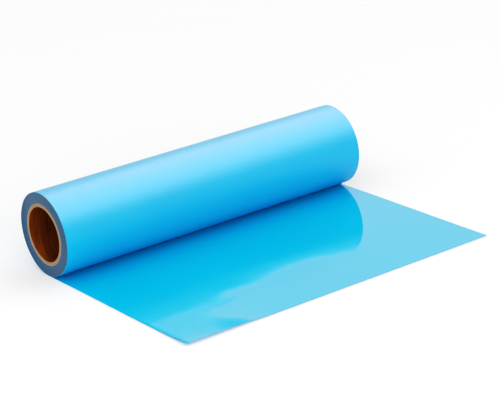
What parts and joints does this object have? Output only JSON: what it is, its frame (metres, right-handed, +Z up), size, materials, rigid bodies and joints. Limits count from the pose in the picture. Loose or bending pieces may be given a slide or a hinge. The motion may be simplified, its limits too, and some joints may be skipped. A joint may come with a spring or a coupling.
{
  "type": "roll of sign vinyl",
  "caption": "Roll of glossy light blue self-adhesive sign film on a film liner, wound on a paperboard core, with a length of the web laid out flat.",
  "frame": {"origin": "centre of the core's bore, on the roll's axis, halfway along it", "axes": "+X along the roll's axis, which is also the width of the web; the laid-out web runs from under the roll towards -Y; +Z up; the surface it lies on is at z = -0.0593 m"},
  "size_m": [0.5, 0.384, 0.1182],
  "materials": {
    "kraft_ply": "dark kraft paper, smooth calendered",
    "board_ply": "raw cut chipboard edge",
    "kraft_face": "kraft paper, matt",
    "tape": "double-sided tape",
    "film": "high gloss, slight orange peel",
    "liner": "satin",
    "wound_edges": "cut edges of many thin layers"
  },
  "bodies": {
    "lead": {"lead_film": "film", "lead_liner": "liner"},
    "roll": {"core_ply_1": "kraft_ply", "core_ply_2": "board_ply", "core_ply_3": "board_ply", "core_ply_4": "board_ply", "core_ply_5": "board_ply", "core_ply_6": "board_ply", "core_ply_7": "board_ply", "core_ply_8": "kraft_face", "starter_tape": "tape", "first_turn_film": "film", "first_turn_liner": "liner", "wound_turns": "wound_edges", "last_turn_film": "film", "last_turn_liner": "liner"},
    "tail": {"tail_film": "film", "tail_liner": "liner"},
    "free_end": {"free_end_film": "film", "free_end_liner": "liner"},
    "peel_strip": {"peel_strip_film": "film"}
  },
  "joints": [
    {"name": "roll_spin", "type": "hinge", "parent": "lead", "child": "roll", "pos_m": [0, 0, 0], "axis": [-1, 0, 0], "range_deg": [-30, 360]},
    {"name": "tail_feed", "type": "slide", "parent": "lead", "child": "tail", "axis": [0, -1, 0], "range_m": [-0.031, 0.371], "deforming": ["lead_film", "lead_liner"]},
    {"name": "tail_lift", "type": "hinge", "parent": "tail", "child": "free_end", "pos_m": [0, -0.15, -0.0591], "axis": [-1, 0, 0], "range_deg": [0, 75]},
    {"name": "film_peel", "type": "hinge", "parent": "free_end", "child": "peel_strip", "pos_m": [0, -0.25, -0.0591], "axis": [-1, 0, 0], "range_deg": [0, 120]}
  ],
  "couplings": [
    {"joint": "tail_feed", "follows": "roll_spin", "m_per_rad": 0.0589}
  ]
}
